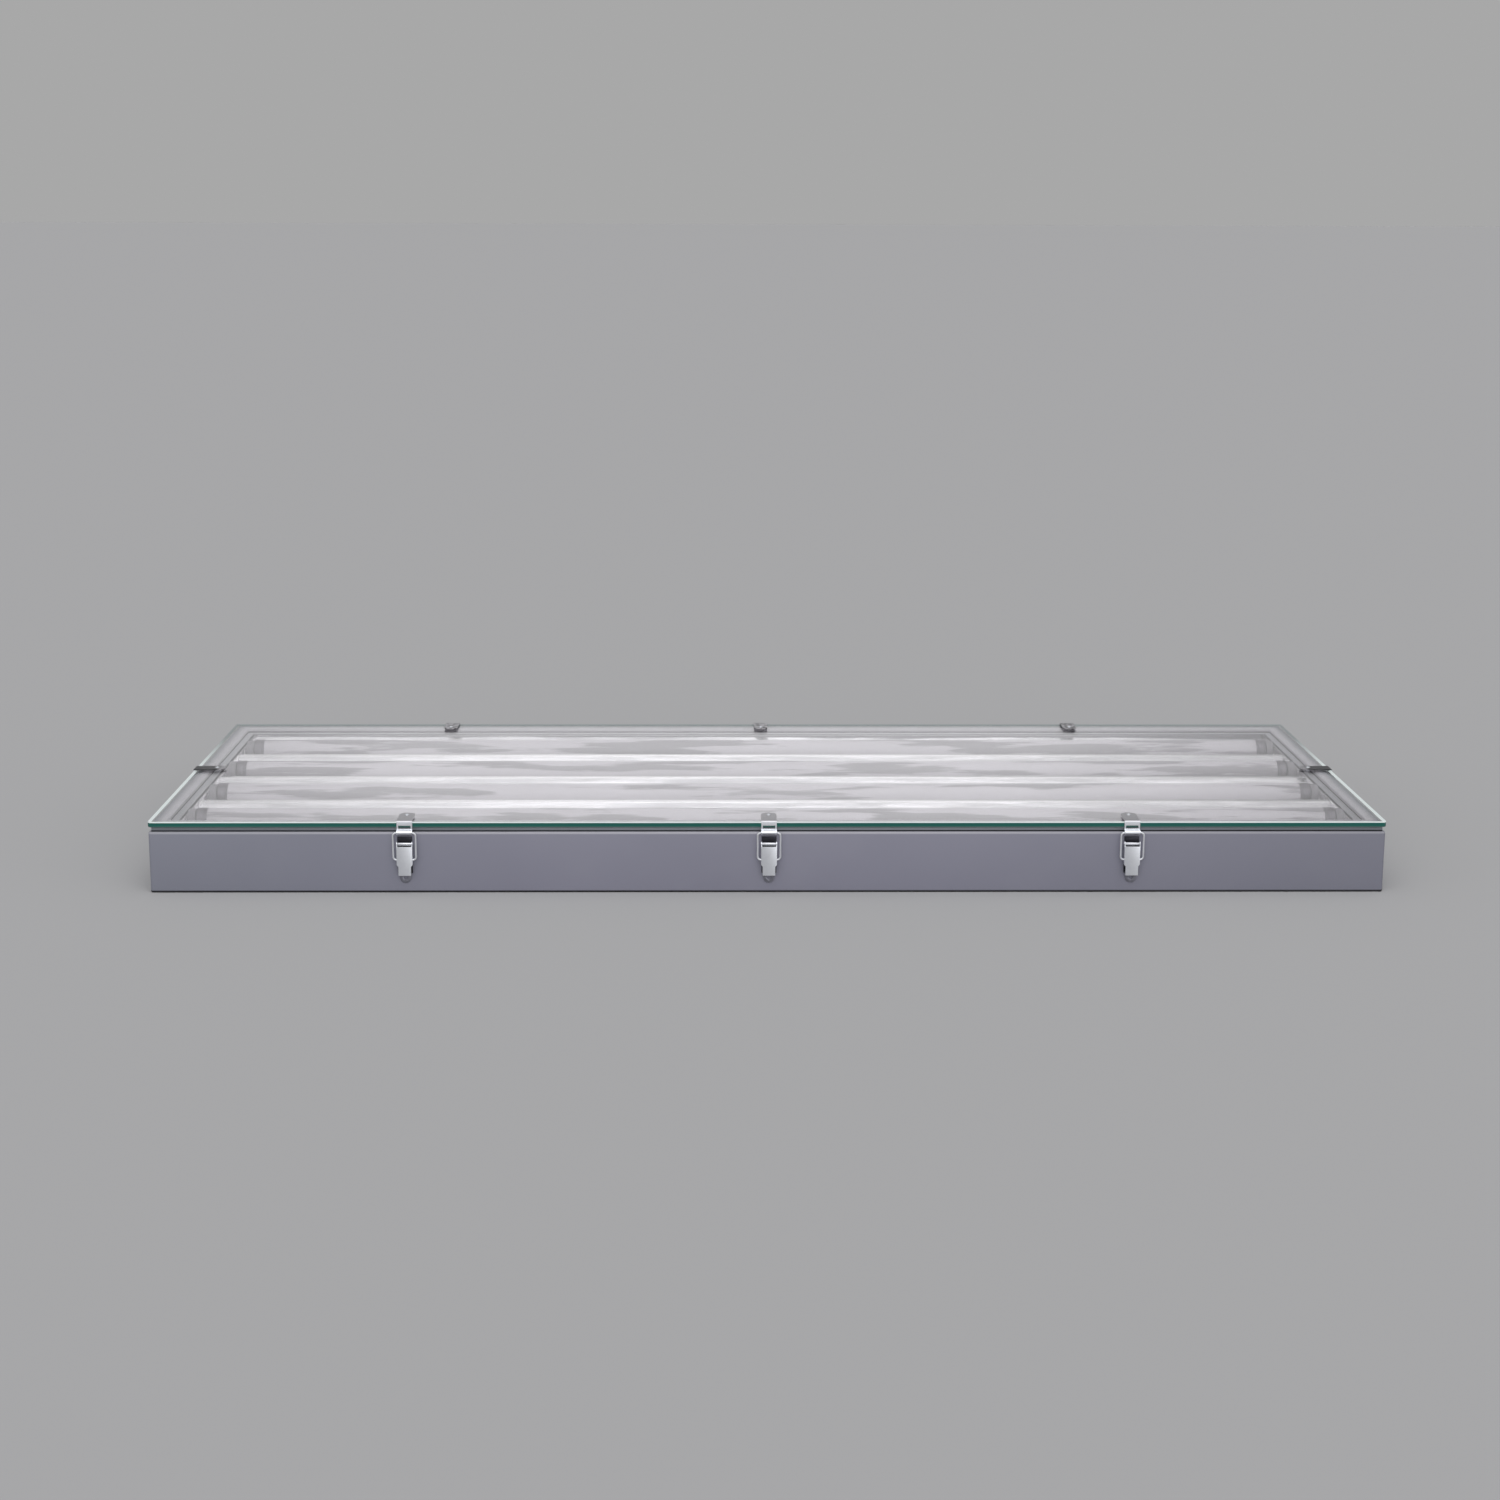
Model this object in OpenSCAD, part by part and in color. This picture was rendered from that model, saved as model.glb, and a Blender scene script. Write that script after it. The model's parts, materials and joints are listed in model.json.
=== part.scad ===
// Sealed four-tube lamp box. A shallow folded-steel housing lies with its open side up.
// A loose glass pane closes it on a foam gasket, held down by eight toggle latches.
// Origin: centre of the underside. X runs along the lamps, Y across them, Z up to the glass.

/* [Lamps] */
// Lamp length between the outer faces of its end caps
lamp_l = 1199.4; // [900:0.1:1520]
// Lamp diameter over its end caps
lamp_d = 26; // [16:0.5:28]
// Depth of the lamp axis below the housing's top face
lamp_drop = 9.5; // [8:0.5:14]
// Wall of the glass tube
tube_wall = 0.8; // [0.5:0.1:1.2]
// Length of a lamp end cap
cap_l = 12; // [8:1:20]
// Contact pin diameter
pin_d = 2.35; // [2:0.05:2.5]
// Distance between the two contact pins
pin_pitch = 12.7; // [8:0.1:13]
// Length of the contact pins beyond the cap
pin_l = 7; // [5:0.5:7]

/* [Housing] */
// Room between the lamp's cap and the outside of the end wall
end_room = 35.3; // [32:0.1:60]
// Width of the housing, front to back
body_w = 500; // [480:1:640]
// Height of the sheet-metal housing
body_h = 64; // [64:1:100]
// Thickness of the housing sheet
sheet_t = 1.2; // [0.8:0.1:1.5]
// Width of the inward flange that carries the gasket
flange_w = 24; // [20:1:26]
// Radius of the upright corners
corner_r = 3; // [2:0.5:6]
// Distance of the fixing holes from the end walls
fixing_inset_x = 85; // [50:1:110]
// Distance of the fixing holes from the long walls
fixing_inset_y = 100; // [60:1:110]
// Diameter of the four fixing holes
fixing_d = 9; // [5:0.5:12]

/* [Glass and gasket] */
// Thickness of the glass pane
glass_t = 6; // [4:0.5:8]
// Radius of the pane's corners
glass_corner_r = 2; // [1:0.5:5]
// Height of the gasket under the closed pane
gasket_h = 5; // [3:0.5:8]
// Width of the gasket strip
gasket_w = 14; // [8:1:16]
// Distance of the gasket from the housing's edge
gasket_inset = 3; // [1:0.5:4]

/* [Latches] */
// Distance of the outer latches from the end walls
latch_inset = 262; // [100:1:300]
// Width of the strike strap
strike_w = 16; // [12:0.2:16]
// Length of the strike strap on top of the glass
strike_reach = 34; // [24:1:45]
// Thickness of the strike strap
strike_t = 1; // [0.8:0.1:1.2]
// Thickness of the pad under the strike
pad_t = 0.5; // [0.3:0.1:1]
// Width of the lever over its side cheeks
lever_w = 16.2; // [16.2:0.1:17]
// Diameter of the bail wire
wire_d = 2; // [1.6:0.1:2]
// Width of the bail over the wire
bail_w = 25.2; // [24:0.1:27]
// Height of the bail between its two pivots
bail_h = 28.5; // [26:0.5:30]
// Distance from the lever's pin to the bail's crossbar
crank = 17; // [15:0.5:18]

/* [Inside] */
// Height of the space for the electrical gear under the reflectors
gear_h = 30; // [29:0.5:32]
// Thickness of the reflector sheet
reflector_t = 0.8; // [0.6:0.1:1]
// Flat width of a reflector trough
trough_w = 56; // [40:1:60]
// Distance of the outer support rails from the lamp ends
rail_inset = 150; // [80:1:200]
// Length of a ballast's body
ballast_l = 280; // [200:1:290]
// Width of a ballast
ballast_w = 40; // [28:1:60]
// Height of a ballast
ballast_h = 24; // [18:1:26]
// Bore of the cable grommet
cable_d = 9; // [6:0.5:12]

/* [Hidden] */
$fn = 48;
LAMP_COUNT = 4;
LATCH_COUNT = 8;
cut = 1;
slip = 0.06;
side_gap = 0.3;
body_l = lamp_l + 2 * end_room;
inner_l = body_l - 2 * sheet_t;
inner_w = body_w - 2 * sheet_t;
side_margin = 18;
lamp_pitch = (body_w - 2 * side_margin) / LAMP_COUNT;
lamp_z = body_h - lamp_drop;
lamp_r = lamp_d / 2;
lamp_end = lamp_l / 2;
function lamp_y(n) = (n - (LAMP_COUNT + 1) / 2) * lamp_pitch;
glass_z = body_h + gasket_h;
seat_gap = 0.15;

// Lamp ends and holders, measured along X from the cap's face
cap_wall = 0.3;
cap_face_t = 0.8;
holder_x = lamp_end + side_gap;
holder_depth = 8.2;
holder_back_t = 0.8;
holder_head_r = 12;
holder_neck_w = 20;
rotor_r = pin_pitch / 2 + pin_d / 2 + 0.9;
rotor_fit = 0.08;
rotor_inset = 0.3;
clip_w = 9.6;
clip_h = 10;
clip_l = 3;
clip_drop = 20;
panel_x = holder_x + holder_depth;
panel_t = 0.8;
panel_foot = 12;

// Reflectors
ridge_drop = 3;
ridge_z = body_h - ridge_drop;
lip_w = 2.5;
seam_gap = 0.6;
screw_head_r = 4;
screw_head_t = 2.4;
screw_r = 1.9;
screw_l = 9;

// Gear
rail_x = lamp_end - rail_inset;
rail_w = 30;
rail_t = 1.2;
rail_foot = 12;
ballast_x = rail_x / 2;
ballast_foot = 11;
ballast_foot_t = 1.5;
ballast_room = 2;
ballast_case_l = min(ballast_l, rail_x - 2 * (rail_w / 2 + rail_foot + ballast_foot + ballast_room));
nut_r = 4;
nut_t = 3.2;
stud_r = 2;
loom_r = 2.5;
loom_z = 12;
loom_hole_r = 4;
gutter_x = panel_x + panel_t + 7;
terminal_x = body_l / 2 - 115;
terminal_y = body_w / 2 - 70;
terminal_l = 60;
terminal_w = 22;
terminal_h = 20;
earth_gap = 18;
grommet_r = 10;
grommet_rim = 3;
grommet_rim_t = 2;
grommet_z = 18;

// Latches: each is drawn against a wall whose face is y = 0, with z = 0 at the wall's top
latch_x = body_l / 2 - latch_inset;
LATCHES = [
    [-latch_x, -body_w / 2, 180],
    [0, -body_w / 2, 180],
    [latch_x, -body_w / 2, 180],
    [body_l / 2, 0, -90],
    [latch_x, body_w / 2, 0],
    [0, body_w / 2, 0],
    [-latch_x, body_w / 2, 0],
    [-body_l / 2, 0, 90]
];
pivot_out = 4.6;
pivot_z = -11;
bail_z = pivot_z - crank;
eye_out = 3.6;
eye_z = bail_z + bail_h;
eye_r = 2.5;
wire_r = wire_d / 2;
strike_top = gasket_h + glass_t + pad_t;
strike_out = 0.4;
slot_w = 12.6;
slot_h = 3;
slot_z = 4;
strike_rivet_back = 24;
base_t = 1;
base_w = 15.2;
base_top = -4.5;
base_shoulder = -43;
tongue_w = 11.4;
tongue_end = -53.5;
tongue_hole_r = 2;
barrel_r = 2.2;
barrel_w = 14.2;
base_rivets = [-20, -38];
rivet_r = 1.6;
rivet_head_r = 3;
rivet_head_t = 1;
lever_pin_r = 1;
cheek_t = 0.8;
lever_face = 7.6;
lever_plate = 0.9;
lever_top = -13.8;
lever_shoulder = -33;
tab_w = 13;
tab_top = -34.8;
tab_end = -44.3;
hem_h = 1.7;
knuckle_r = 2.4;

// Drawing helpers

module along_x(length) {
    rotate([90, 0, 90])
        linear_extrude(length)
            children();
}

module across_x(width) {
    translate([-width / 2, 0, 0])
        along_x(width)
            children();
}

module along_y(length) {
    rotate([90, 0, 0])
        linear_extrude(length, center = true)
            children();
}

module rod_x(length, radius) {
    rotate([0, 90, 0])
        cylinder(h = length, r = radius);
}

module rod_out(from, to, radius) {
    translate([0, from, 0])
        rotate([-90, 0, 0])
            cylinder(h = to - from, r = radius);
}

module rounded_plan(length, width, radius) {
    square([length - 2 * radius, width], center = true);
    square([length, width - 2 * radius], center = true);
    for (sx = [-1, 1], sy = [-1, 1])
        translate([sx * (length / 2 - radius), sy * (width / 2 - radius)])
            circle(radius);
}

module both_ends() {
    for (end = [0, 1])
        mirror([end, 0, 0])
            children();
}

module at_latch(n) {
    translate([LATCHES[n - 1][0], LATCHES[n - 1][1], body_h])
        rotate([0, 0, LATCHES[n - 1][2]])
            children();
}

module at_every_latch() {
    for (n = [1 : LATCH_COUNT])
        at_latch(n)
            children();
}

// Housing, gasket and glass

module fixing_points() {
    for (sx = [-1, 1], sy = [-1, 1])
        translate([sx * (body_l / 2 - fixing_inset_x), sy * (body_w / 2 - fixing_inset_y), 0])
            children();
}

module back_sheet() {
    color([0.46, 0.46, 0.52])
        difference() {
            linear_extrude(sheet_t)
                rounded_plan(body_l, body_w, corner_r);
            fixing_points()
                translate([0, 0, -cut])
                    cylinder(h = sheet_t + 2 * cut, d = fixing_d);
        }
}

module folded_rim() {
    difference() {
        translate([0, 0, sheet_t])
            linear_extrude(body_h - sheet_t)
                rounded_plan(body_l, body_w, corner_r);
        translate([0, 0, sheet_t - cut])
            linear_extrude(body_h - 2 * sheet_t + cut)
                rounded_plan(inner_l, inner_w, corner_r - sheet_t);
        translate([0, 0, body_h - sheet_t - cut])
            linear_extrude(sheet_t + 2 * cut)
                square([body_l - 2 * flange_w, body_w - 2 * flange_w], center = true);
        at_every_latch()
            for (z = base_rivets)
                translate([0, 0, z])
                    rod_out(-sheet_t - cut, cut, rivet_r + slip);
        translate([terminal_x, body_w / 2, grommet_z])
            rod_out(-sheet_t - cut, cut, grommet_r + slip);
    }
}

// A long and a short wall's share of the rim, up to the welded mitres at its corners
module short_share(half_l, half_w) {
    linear_extrude(body_h + cut)
        polygon([
            [half_l + cut, -half_w - cut],
            [half_l + cut, half_w + cut],
            [half_l - half_w, 0]
        ]);
}

module long_share(half_l, half_w) {
    linear_extrude(body_h + cut)
        polygon([
            [-half_l - cut, -half_w - cut],
            [half_l + cut, -half_w - cut],
            [half_l - half_w, 0],
            [half_w - half_l, 0]
        ]);
}

module long_walls() {
    color([0.46, 0.46, 0.52])
        for (turn = [0, 180])
            intersection() {
                folded_rim();
                rotate([0, 0, turn])
                    long_share(body_l / 2, body_w / 2);
            }
}

module end_walls() {
    color([0.46, 0.46, 0.52])
        for (turn = [0, 180])
            intersection() {
                folded_rim();
                rotate([0, 0, turn])
                    short_share(body_l / 2, body_w / 2);
            }
}

module gasket() {
    outer_l = body_l - 2 * gasket_inset;
    outer_w = body_w - 2 * gasket_inset;
    color([0.62, 0.62, 0.66])
        translate([0, 0, body_h])
            linear_extrude(gasket_h - seat_gap)
                difference() {
                    rounded_plan(outer_l, outer_w, corner_r);
                    square([outer_l - 2 * gasket_w, outer_w - 2 * gasket_w], center = true);
                }
}

module glass_pane() {
    color([0.6, 0.8, 0.75, 0.4])
        translate([0, 0, glass_z])
            linear_extrude(glass_t)
                rounded_plan(body_l, body_w, glass_corner_r);
}

// Latch parts

module strap_plan(width, reach) {
    translate([-width / 2, -reach + width / 2])
        square([width, reach - width / 2]);
    translate([0, -reach + width / 2])
        circle(width / 2);
}

module strike() {
    bend_r = strike_t + 0.4;
    difference() {
        union() {
            translate([0, 0, strike_top])
                linear_extrude(strike_t)
                    strap_plan(strike_w, strike_reach);
            across_x(strike_w)
                difference() {
                    union() {
                        translate([-cut, strike_top])
                            square([cut + strike_out + strike_t - bend_r, strike_t]);
                        translate([strike_out, eye_z])
                            square([strike_t, strike_top + strike_t - bend_r - eye_z]);
                        translate([strike_out + strike_t - bend_r, strike_top + strike_t - bend_r])
                            circle(bend_r);
                        translate([eye_out, eye_z])
                            circle(eye_r);
                    }
                    translate([strike_out - bend_r * 2, strike_top - bend_r * 2])
                        square([bend_r * 2, bend_r * 2]);
                    translate([eye_out, eye_z])
                        circle(wire_r + side_gap);
                }
        }
        translate([-slot_w / 2, strike_out - cut, slot_z])
            cube([slot_w, strike_t + 2 * cut, slot_h]);
        translate([0, -strike_rivet_back, strike_top - cut])
            cylinder(h = strike_t + 2 * cut, r = rivet_r + slip);
    }
}

module strikes() {
    color([0.78, 0.79, 0.8])
        at_every_latch()
            strike();
}

module strike_pads() {
    color([0.3, 0.3, 0.32])
        at_every_latch()
            translate([0, -2, gasket_h + glass_t])
                linear_extrude(pad_t)
                    difference() {
                        strap_plan(strike_w - 1, strike_reach - 2.5);
                        translate([0, 2 - strike_rivet_back])
                            circle(rivet_r + slip);
                    }
}

module strike_rivets() {
    color([0.85, 0.85, 0.86])
        at_every_latch()
            translate([0, -strike_rivet_back, gasket_h + glass_t])
                difference() {
                    union() {
                        cylinder(h = pad_t + strike_t + 0.2, r = rivet_r);
                        translate([0, 0, pad_t + strike_t])
                            cylinder(h = 0.8, r1 = rivet_head_r, r2 = 2);
                    }
                    translate([0, 0, -cut])
                        cylinder(h = 5, r = 0.9);
                }
}

module latch_base() {
    difference() {
        union() {
            translate([-base_w / 2, 0, base_shoulder])
                cube([base_w, base_t, base_top - base_shoulder]);
            translate([-tongue_w / 2, 0, tongue_end + tongue_w / 2])
                cube([tongue_w, base_t, base_shoulder - tongue_end - tongue_w / 2 + cut]);
            translate([0, 0, tongue_end + tongue_w / 2])
                rod_out(0, base_t, tongue_w / 2);
            across_x(barrel_w) {
                translate([pivot_out, pivot_z])
                    circle(barrel_r);
                translate([base_t / 2, pivot_z + barrel_r - base_t])
                    square([pivot_out - base_t / 2, base_t]);
            }
        }
        translate([-base_w, pivot_out, pivot_z])
            rod_x(2 * base_w, lever_pin_r + slip);
        for (z = base_rivets)
            translate([0, 0, z])
                rod_out(-cut, base_t + cut, rivet_r + slip);
        translate([0, 0, tongue_end + tongue_w / 2])
            rod_out(-cut, base_t + cut, tongue_hole_r);
    }
}

module latch_bases() {
    color([0.75, 0.76, 0.78])
        at_every_latch()
            latch_base();
}

module latch_rivets() {
    color([0.7, 0.7, 0.72])
        at_every_latch()
            for (z = base_rivets)
                translate([0, 0, z]) {
                    rod_out(-sheet_t - 0.5, base_t + 0.5, rivet_r);
                    rod_out(base_t, base_t + rivet_head_t, rivet_head_r);
                    rod_out(-sheet_t - 2, -sheet_t, rivet_r + 0.8);
                }
}

module lever_pins() {
    color([0.7, 0.7, 0.72])
        at_every_latch()
            translate([-lever_w / 2 - 0.4, pivot_out, pivot_z])
                rod_x(lever_w + 0.8, lever_pin_r);
}

module lever() {
    difference() {
        union() {
            for (side = [0, 1])
                mirror([side, 0, 0])
                    translate([lever_w / 2 - cheek_t, 0, 0])
                        along_x(cheek_t) {
                            translate([pivot_out, pivot_z])
                                circle(knuckle_r);
                            polygon([
                                [pivot_out - knuckle_r, pivot_z],
                                [pivot_out - knuckle_r, lever_shoulder + 2],
                                [pivot_out, lever_shoulder],
                                [lever_face - lever_plate / 2, lever_shoulder],
                                [lever_face - lever_plate / 2, lever_top],
                                [pivot_out + knuckle_r, pivot_z]
                            ]);
                        }
            translate([0, lever_face, 0])
                rotate([90, 0, 0])
                    linear_extrude(lever_plate)
                        polygon([
                            [-lever_w / 2, lever_top],
                            [-lever_w / 2, lever_shoulder],
                            [-tab_w / 2, tab_top],
                            [-tab_w / 2, tab_end],
                            [tab_w / 2, tab_end],
                            [tab_w / 2, tab_top],
                            [lever_w / 2, lever_shoulder],
                            [lever_w / 2, lever_top]
                        ]);
            translate([-tab_w / 2, lever_face - 2 * lever_plate, tab_end])
                cube([tab_w, lever_plate + cut / 2, hem_h]);
        }
        translate([-lever_w, pivot_out, pivot_z])
            rod_x(2 * lever_w, lever_pin_r + slip);
        translate([-lever_w, pivot_out, bail_z])
            rod_x(2 * lever_w, wire_r + slip);
    }
}

module wire_corner(bend) {
    rotate([90, 0, 0])
        rotate_extrude(angle = 90)
            translate([bend, 0])
                circle(wire_r, $fn = 32);
}

module bail() {
    half = bail_w / 2 - wire_r;
    foot_x = lever_w / 2 + side_gap;
    low_bend = half - foot_x;
    top_bend = half - (strike_w / 2 + 0.35);
    reach = norm([bail_h, pivot_out - eye_out]);
    tilt = atan2(pivot_out - eye_out, bail_h);
    translate([0, pivot_out, bail_z])
        rotate([tilt, 0, 0]) {
            translate([-foot_x, 0, 0])
                rod_x(2 * foot_x, wire_r);
            both_ends() {
                translate([foot_x, 0, low_bend])
                    rotate([0, 90, 0])
                        wire_corner(low_bend);
                translate([half, 0, low_bend])
                    cylinder(h = reach - low_bend - top_bend, r = wire_r);
                translate([half - top_bend, 0, reach - top_bend])
                    wire_corner(top_bend);
            }
        }
}

// Lamps

module lamp_tube(n) {
    r = lamp_r - cap_wall - slip;
    half = lamp_end - cap_face_t - side_gap;
    color([0.93, 0.92, 0.95])
        translate([-half, lamp_y(n), lamp_z])
            difference() {
                rod_x(2 * half, r);
                translate([tube_wall, 0, 0])
                    rod_x(2 * (half - tube_wall), r - tube_wall);
            }
}

module at_pins() {
    for (side = [-1, 1])
        translate([0, side * pin_pitch / 2, 0])
            children();
}

module lamp_caps(n) {
    color([0.72, 0.71, 0.74])
        both_ends()
            translate([lamp_end - cap_l, lamp_y(n), lamp_z])
                difference() {
                    rod_x(cap_l, lamp_r);
                    translate([-cap_face_t, 0, 0])
                        rod_x(cap_l, lamp_r - cap_wall);
                    at_pins()
                        rod_x(cap_l + cut, pin_d / 2 + slip);
                }
}

module lamp_pins(n) {
    color([0.8, 0.7, 0.45])
        both_ends()
            translate([lamp_end - cap_face_t, lamp_y(n), lamp_z])
                at_pins()
                    rod_x(cap_face_t + pin_l, pin_d / 2);
}

module lamp_rotors(n) {
    depth = holder_depth - holder_back_t - 2 * rotor_inset;
    slot = pin_d + 0.25;
    color([0.9, 0.9, 0.9])
        both_ends()
            translate([holder_x + rotor_inset, lamp_y(n), lamp_z])
                difference() {
                    rod_x(depth, rotor_r);
                    translate([-cut, -pin_pitch / 2 - slot / 2, -slot / 2])
                        cube([depth - rotor_inset + cut, pin_pitch + slot, slot]);
                }
}

module lampholder(n) {
    translate([holder_x, lamp_y(n), 0])
        difference() {
            union() {
                along_x(holder_depth) {
                    translate([0, lamp_z])
                        circle(holder_head_r);
                    translate([-holder_neck_w / 2, gear_h])
                        square([holder_neck_w, lamp_z - gear_h]);
                }
                translate([holder_depth - cut, -clip_w / 2, lamp_z - clip_drop])
                    cube([clip_l + cut, clip_w, clip_h]);
            }
            translate([-cut, 0, lamp_z])
                rod_x(holder_depth - holder_back_t + cut, rotor_r + rotor_fit);
            translate([-cut, -pin_d / 2 - 0.4, lamp_z])
                cube([holder_depth - holder_back_t + cut, pin_d + 0.8, holder_head_r + cut]);
        }
}

module lampholders() {
    color([0.95, 0.95, 0.95])
        both_ends()
            for (n = [1 : LAMP_COUNT])
                lampholder(n);
}

module end_panels() {
    half_w = inner_w / 2 - side_gap;
    color([0.88, 0.88, 0.9])
        both_ends()
            difference() {
                union() {
                    translate([panel_x, -half_w, sheet_t])
                        cube([panel_t, 2 * half_w, body_h - 2 * sheet_t]);
                    translate([panel_x, -half_w, sheet_t])
                        cube([panel_foot, 2 * half_w, panel_t]);
                }
                for (n = [1 : LAMP_COUNT])
                    translate([panel_x - cut, lamp_y(n) - clip_w / 2 - slip, lamp_z - clip_drop - slip])
                        cube([panel_t + 2 * cut, clip_w + 2 * slip, clip_h + 2 * slip]);
                translate([panel_x - cut, 0, loom_z])
                    rod_x(panel_t + 2 * cut, loom_hole_r);
            }
}

// Reflectors and gear

module reflector(n) {
    half = lamp_pitch / 2 - seam_gap / 2;
    brow = half - lip_w;
    foot = trough_w / 2;
    fold = reflector_t / 2;
    color([0.92, 0.92, 0.94])
        translate([0, lamp_y(n), 0])
            difference() {
                translate([-panel_x + side_gap, 0, 0])
                    along_x(2 * (panel_x - side_gap))
                        polygon([
                            [-half, ridge_z - reflector_t],
                            [-brow, ridge_z - reflector_t],
                            [-foot, gear_h],
                            [foot, gear_h],
                            [brow, ridge_z - reflector_t],
                            [half, ridge_z - reflector_t],
                            [half, ridge_z],
                            [brow - fold, ridge_z],
                            [foot - fold, gear_h + reflector_t],
                            [-foot + fold, gear_h + reflector_t],
                            [-brow + fold, ridge_z],
                            [-half, ridge_z]
                        ]);
                both_ends()
                    translate([lamp_end - side_gap, -holder_head_r - 1, gear_h - cut])
                        cube([end_room, 2 * holder_head_r + 2, reflector_t + 2 * cut]);
                for (x = [-rail_x, 0, rail_x])
                    translate([x, 0, gear_h - cut])
                        cylinder(h = reflector_t + 2 * cut, r = screw_r + slip);
            }
}

module reflector_screws() {
    color([0.8, 0.8, 0.82])
        for (n = [1 : LAMP_COUNT], x = [-rail_x, 0, rail_x])
            translate([x, lamp_y(n), gear_h + reflector_t]) {
                translate([0, 0, -screw_l])
                    cylinder(h = screw_l + cut, r = screw_r);
                difference() {
                    cylinder(h = screw_head_t, r = screw_head_r);
                    translate([-screw_head_r, -0.5, screw_head_t - 1])
                        cube([2 * screw_head_r, 1, 1 + cut]);
                }
            }
}

module rail_profile() {
    difference() {
        translate([-rail_w / 2, sheet_t])
            square([rail_w, gear_h - sheet_t]);
        translate([-rail_w / 2 + rail_t, sheet_t - cut])
            square([rail_w - 2 * rail_t, gear_h - sheet_t - rail_t + cut]);
    }
    for (side = [-1, 1])
        translate([side * (rail_w / 2 + rail_foot / 2 - rail_t / 2), sheet_t + rail_t / 2])
            square([rail_foot, rail_t], center = true);
}

module support_rails() {
    color([0.7, 0.7, 0.73])
        for (x = [-rail_x, 0, rail_x])
            translate([x, 0, 0])
                difference() {
                    along_y(LAMP_COUNT * lamp_pitch)
                        rail_profile();
                    translate([-rail_w / 2 - cut, 0, loom_z])
                        rod_x(rail_w + 2 * cut, loom_hole_r);
                    for (n = [1 : LAMP_COUNT])
                        translate([0, lamp_y(n), gear_h - rail_t - cut])
                            cylinder(h = rail_t + 2 * cut, r = screw_r + slip);
                }
}

module ballast_feet() {
    for (end = [-1, 1])
        translate([end * (ballast_case_l / 2 + ballast_foot / 2), 0, sheet_t])
            children();
}

module ballast() {
    chamfer = 3;
    difference() {
        union() {
            translate([-ballast_case_l / 2, 0, sheet_t])
                along_x(ballast_case_l)
                    polygon([
                        [-ballast_w / 2, 0],
                        [ballast_w / 2, 0],
                        [ballast_w / 2, ballast_h - chamfer],
                        [ballast_w / 2 - chamfer, ballast_h],
                        [-ballast_w / 2 + chamfer, ballast_h],
                        [-ballast_w / 2, ballast_h - chamfer]
                    ]);
            ballast_feet()
                translate([-ballast_foot / 2 - cut, -10, 0])
                    cube([ballast_foot + 2 * cut, 20, ballast_foot_t]);
        }
        ballast_feet()
            translate([0, 0, -cut])
                cylinder(h = ballast_foot_t + 2 * cut, r = stud_r + slip);
    }
}

module ballasts() {
    color([0.86, 0.86, 0.84])
        for (side = [-1, 1])
            translate([side * ballast_x, 0, 0])
                ballast();
}

module ballast_nuts() {
    color([0.75, 0.75, 0.7])
        for (side = [-1, 1])
            translate([side * ballast_x, 0, 0])
                ballast_feet() {
                    cylinder(h = ballast_foot_t + nut_t + 1.5, r = stud_r);
                    translate([0, 0, ballast_foot_t])
                        cylinder(h = nut_t, r = nut_r, $fn = 6);
                }
}

module terminal_block() {
    color([0.94, 0.94, 0.92])
        translate([terminal_x, terminal_y, sheet_t])
            difference() {
                translate([-terminal_l / 2, -terminal_w / 2, 0])
                    cube([terminal_l, terminal_w, terminal_h]);
                for (pole = [-1 : 1]) {
                    translate([pole * terminal_l / 3.4, 0, terminal_h - 6])
                        cylinder(h = 6 + cut, r = 3);
                    translate([pole * terminal_l / 3.4, terminal_w / 2 - 8, terminal_h / 2])
                        rotate([-90, 0, 0])
                            cylinder(h = 8 + cut, r = 2);
                }
            }
}

module earth_stud() {
    color([0.8, 0.7, 0.4])
        translate([terminal_x + terminal_l / 2 + earth_gap, terminal_y, sheet_t]) {
            cylinder(h = 14, r = 3);
            translate([0, 0, 1])
                cylinder(h = 5, r = 5.8, $fn = 6);
            cylinder(h = 1, r = 7);
        }
}

module cable_grommet() {
    color([0.15, 0.15, 0.16])
        translate([terminal_x, body_w / 2, grommet_z])
            difference() {
                union() {
                    rod_out(-sheet_t - grommet_rim_t, grommet_rim_t, grommet_r);
                    rod_out(0, grommet_rim_t, grommet_r + grommet_rim);
                    rod_out(-sheet_t - grommet_rim_t, -sheet_t, grommet_r + grommet_rim);
                }
                rod_out(-sheet_t - grommet_rim_t - cut, grommet_rim_t + cut, cable_d / 2);
            }
}

module wire_loom() {
    ballast_end = ballast_x + ballast_case_l / 2;
    riser_top = lamp_z - clip_drop + clip_h / 2;
    clip_back = panel_x + clip_l;
    color([0.9, 0.9, 0.88]) {
        translate([ballast_case_l / 2 - ballast_x, 0, loom_z])
            rod_x(2 * ballast_x - ballast_case_l, loom_r);
        both_ends() {
            translate([ballast_end, 0, loom_z])
                rod_x(gutter_x - ballast_end, loom_r);
            translate([gutter_x, 0, loom_z])
                rod_out(lamp_y(1), lamp_y(LAMP_COUNT), loom_r);
            for (n = [1 : LAMP_COUNT])
                translate([gutter_x, lamp_y(n), loom_z]) {
                    sphere(loom_r);
                    cylinder(h = riser_top - loom_z, r = loom_r);
                    translate([0, 0, riser_top - loom_z])
                        sphere(loom_r);
                    translate([clip_back - gutter_x, 0, riser_top - loom_z])
                        rod_x(gutter_x - clip_back, loom_r);
                }
        }
        translate([terminal_x, 0, loom_z])
            rod_out(0, terminal_y - terminal_w / 2, loom_r);
    }
}

// Assembly

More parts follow.
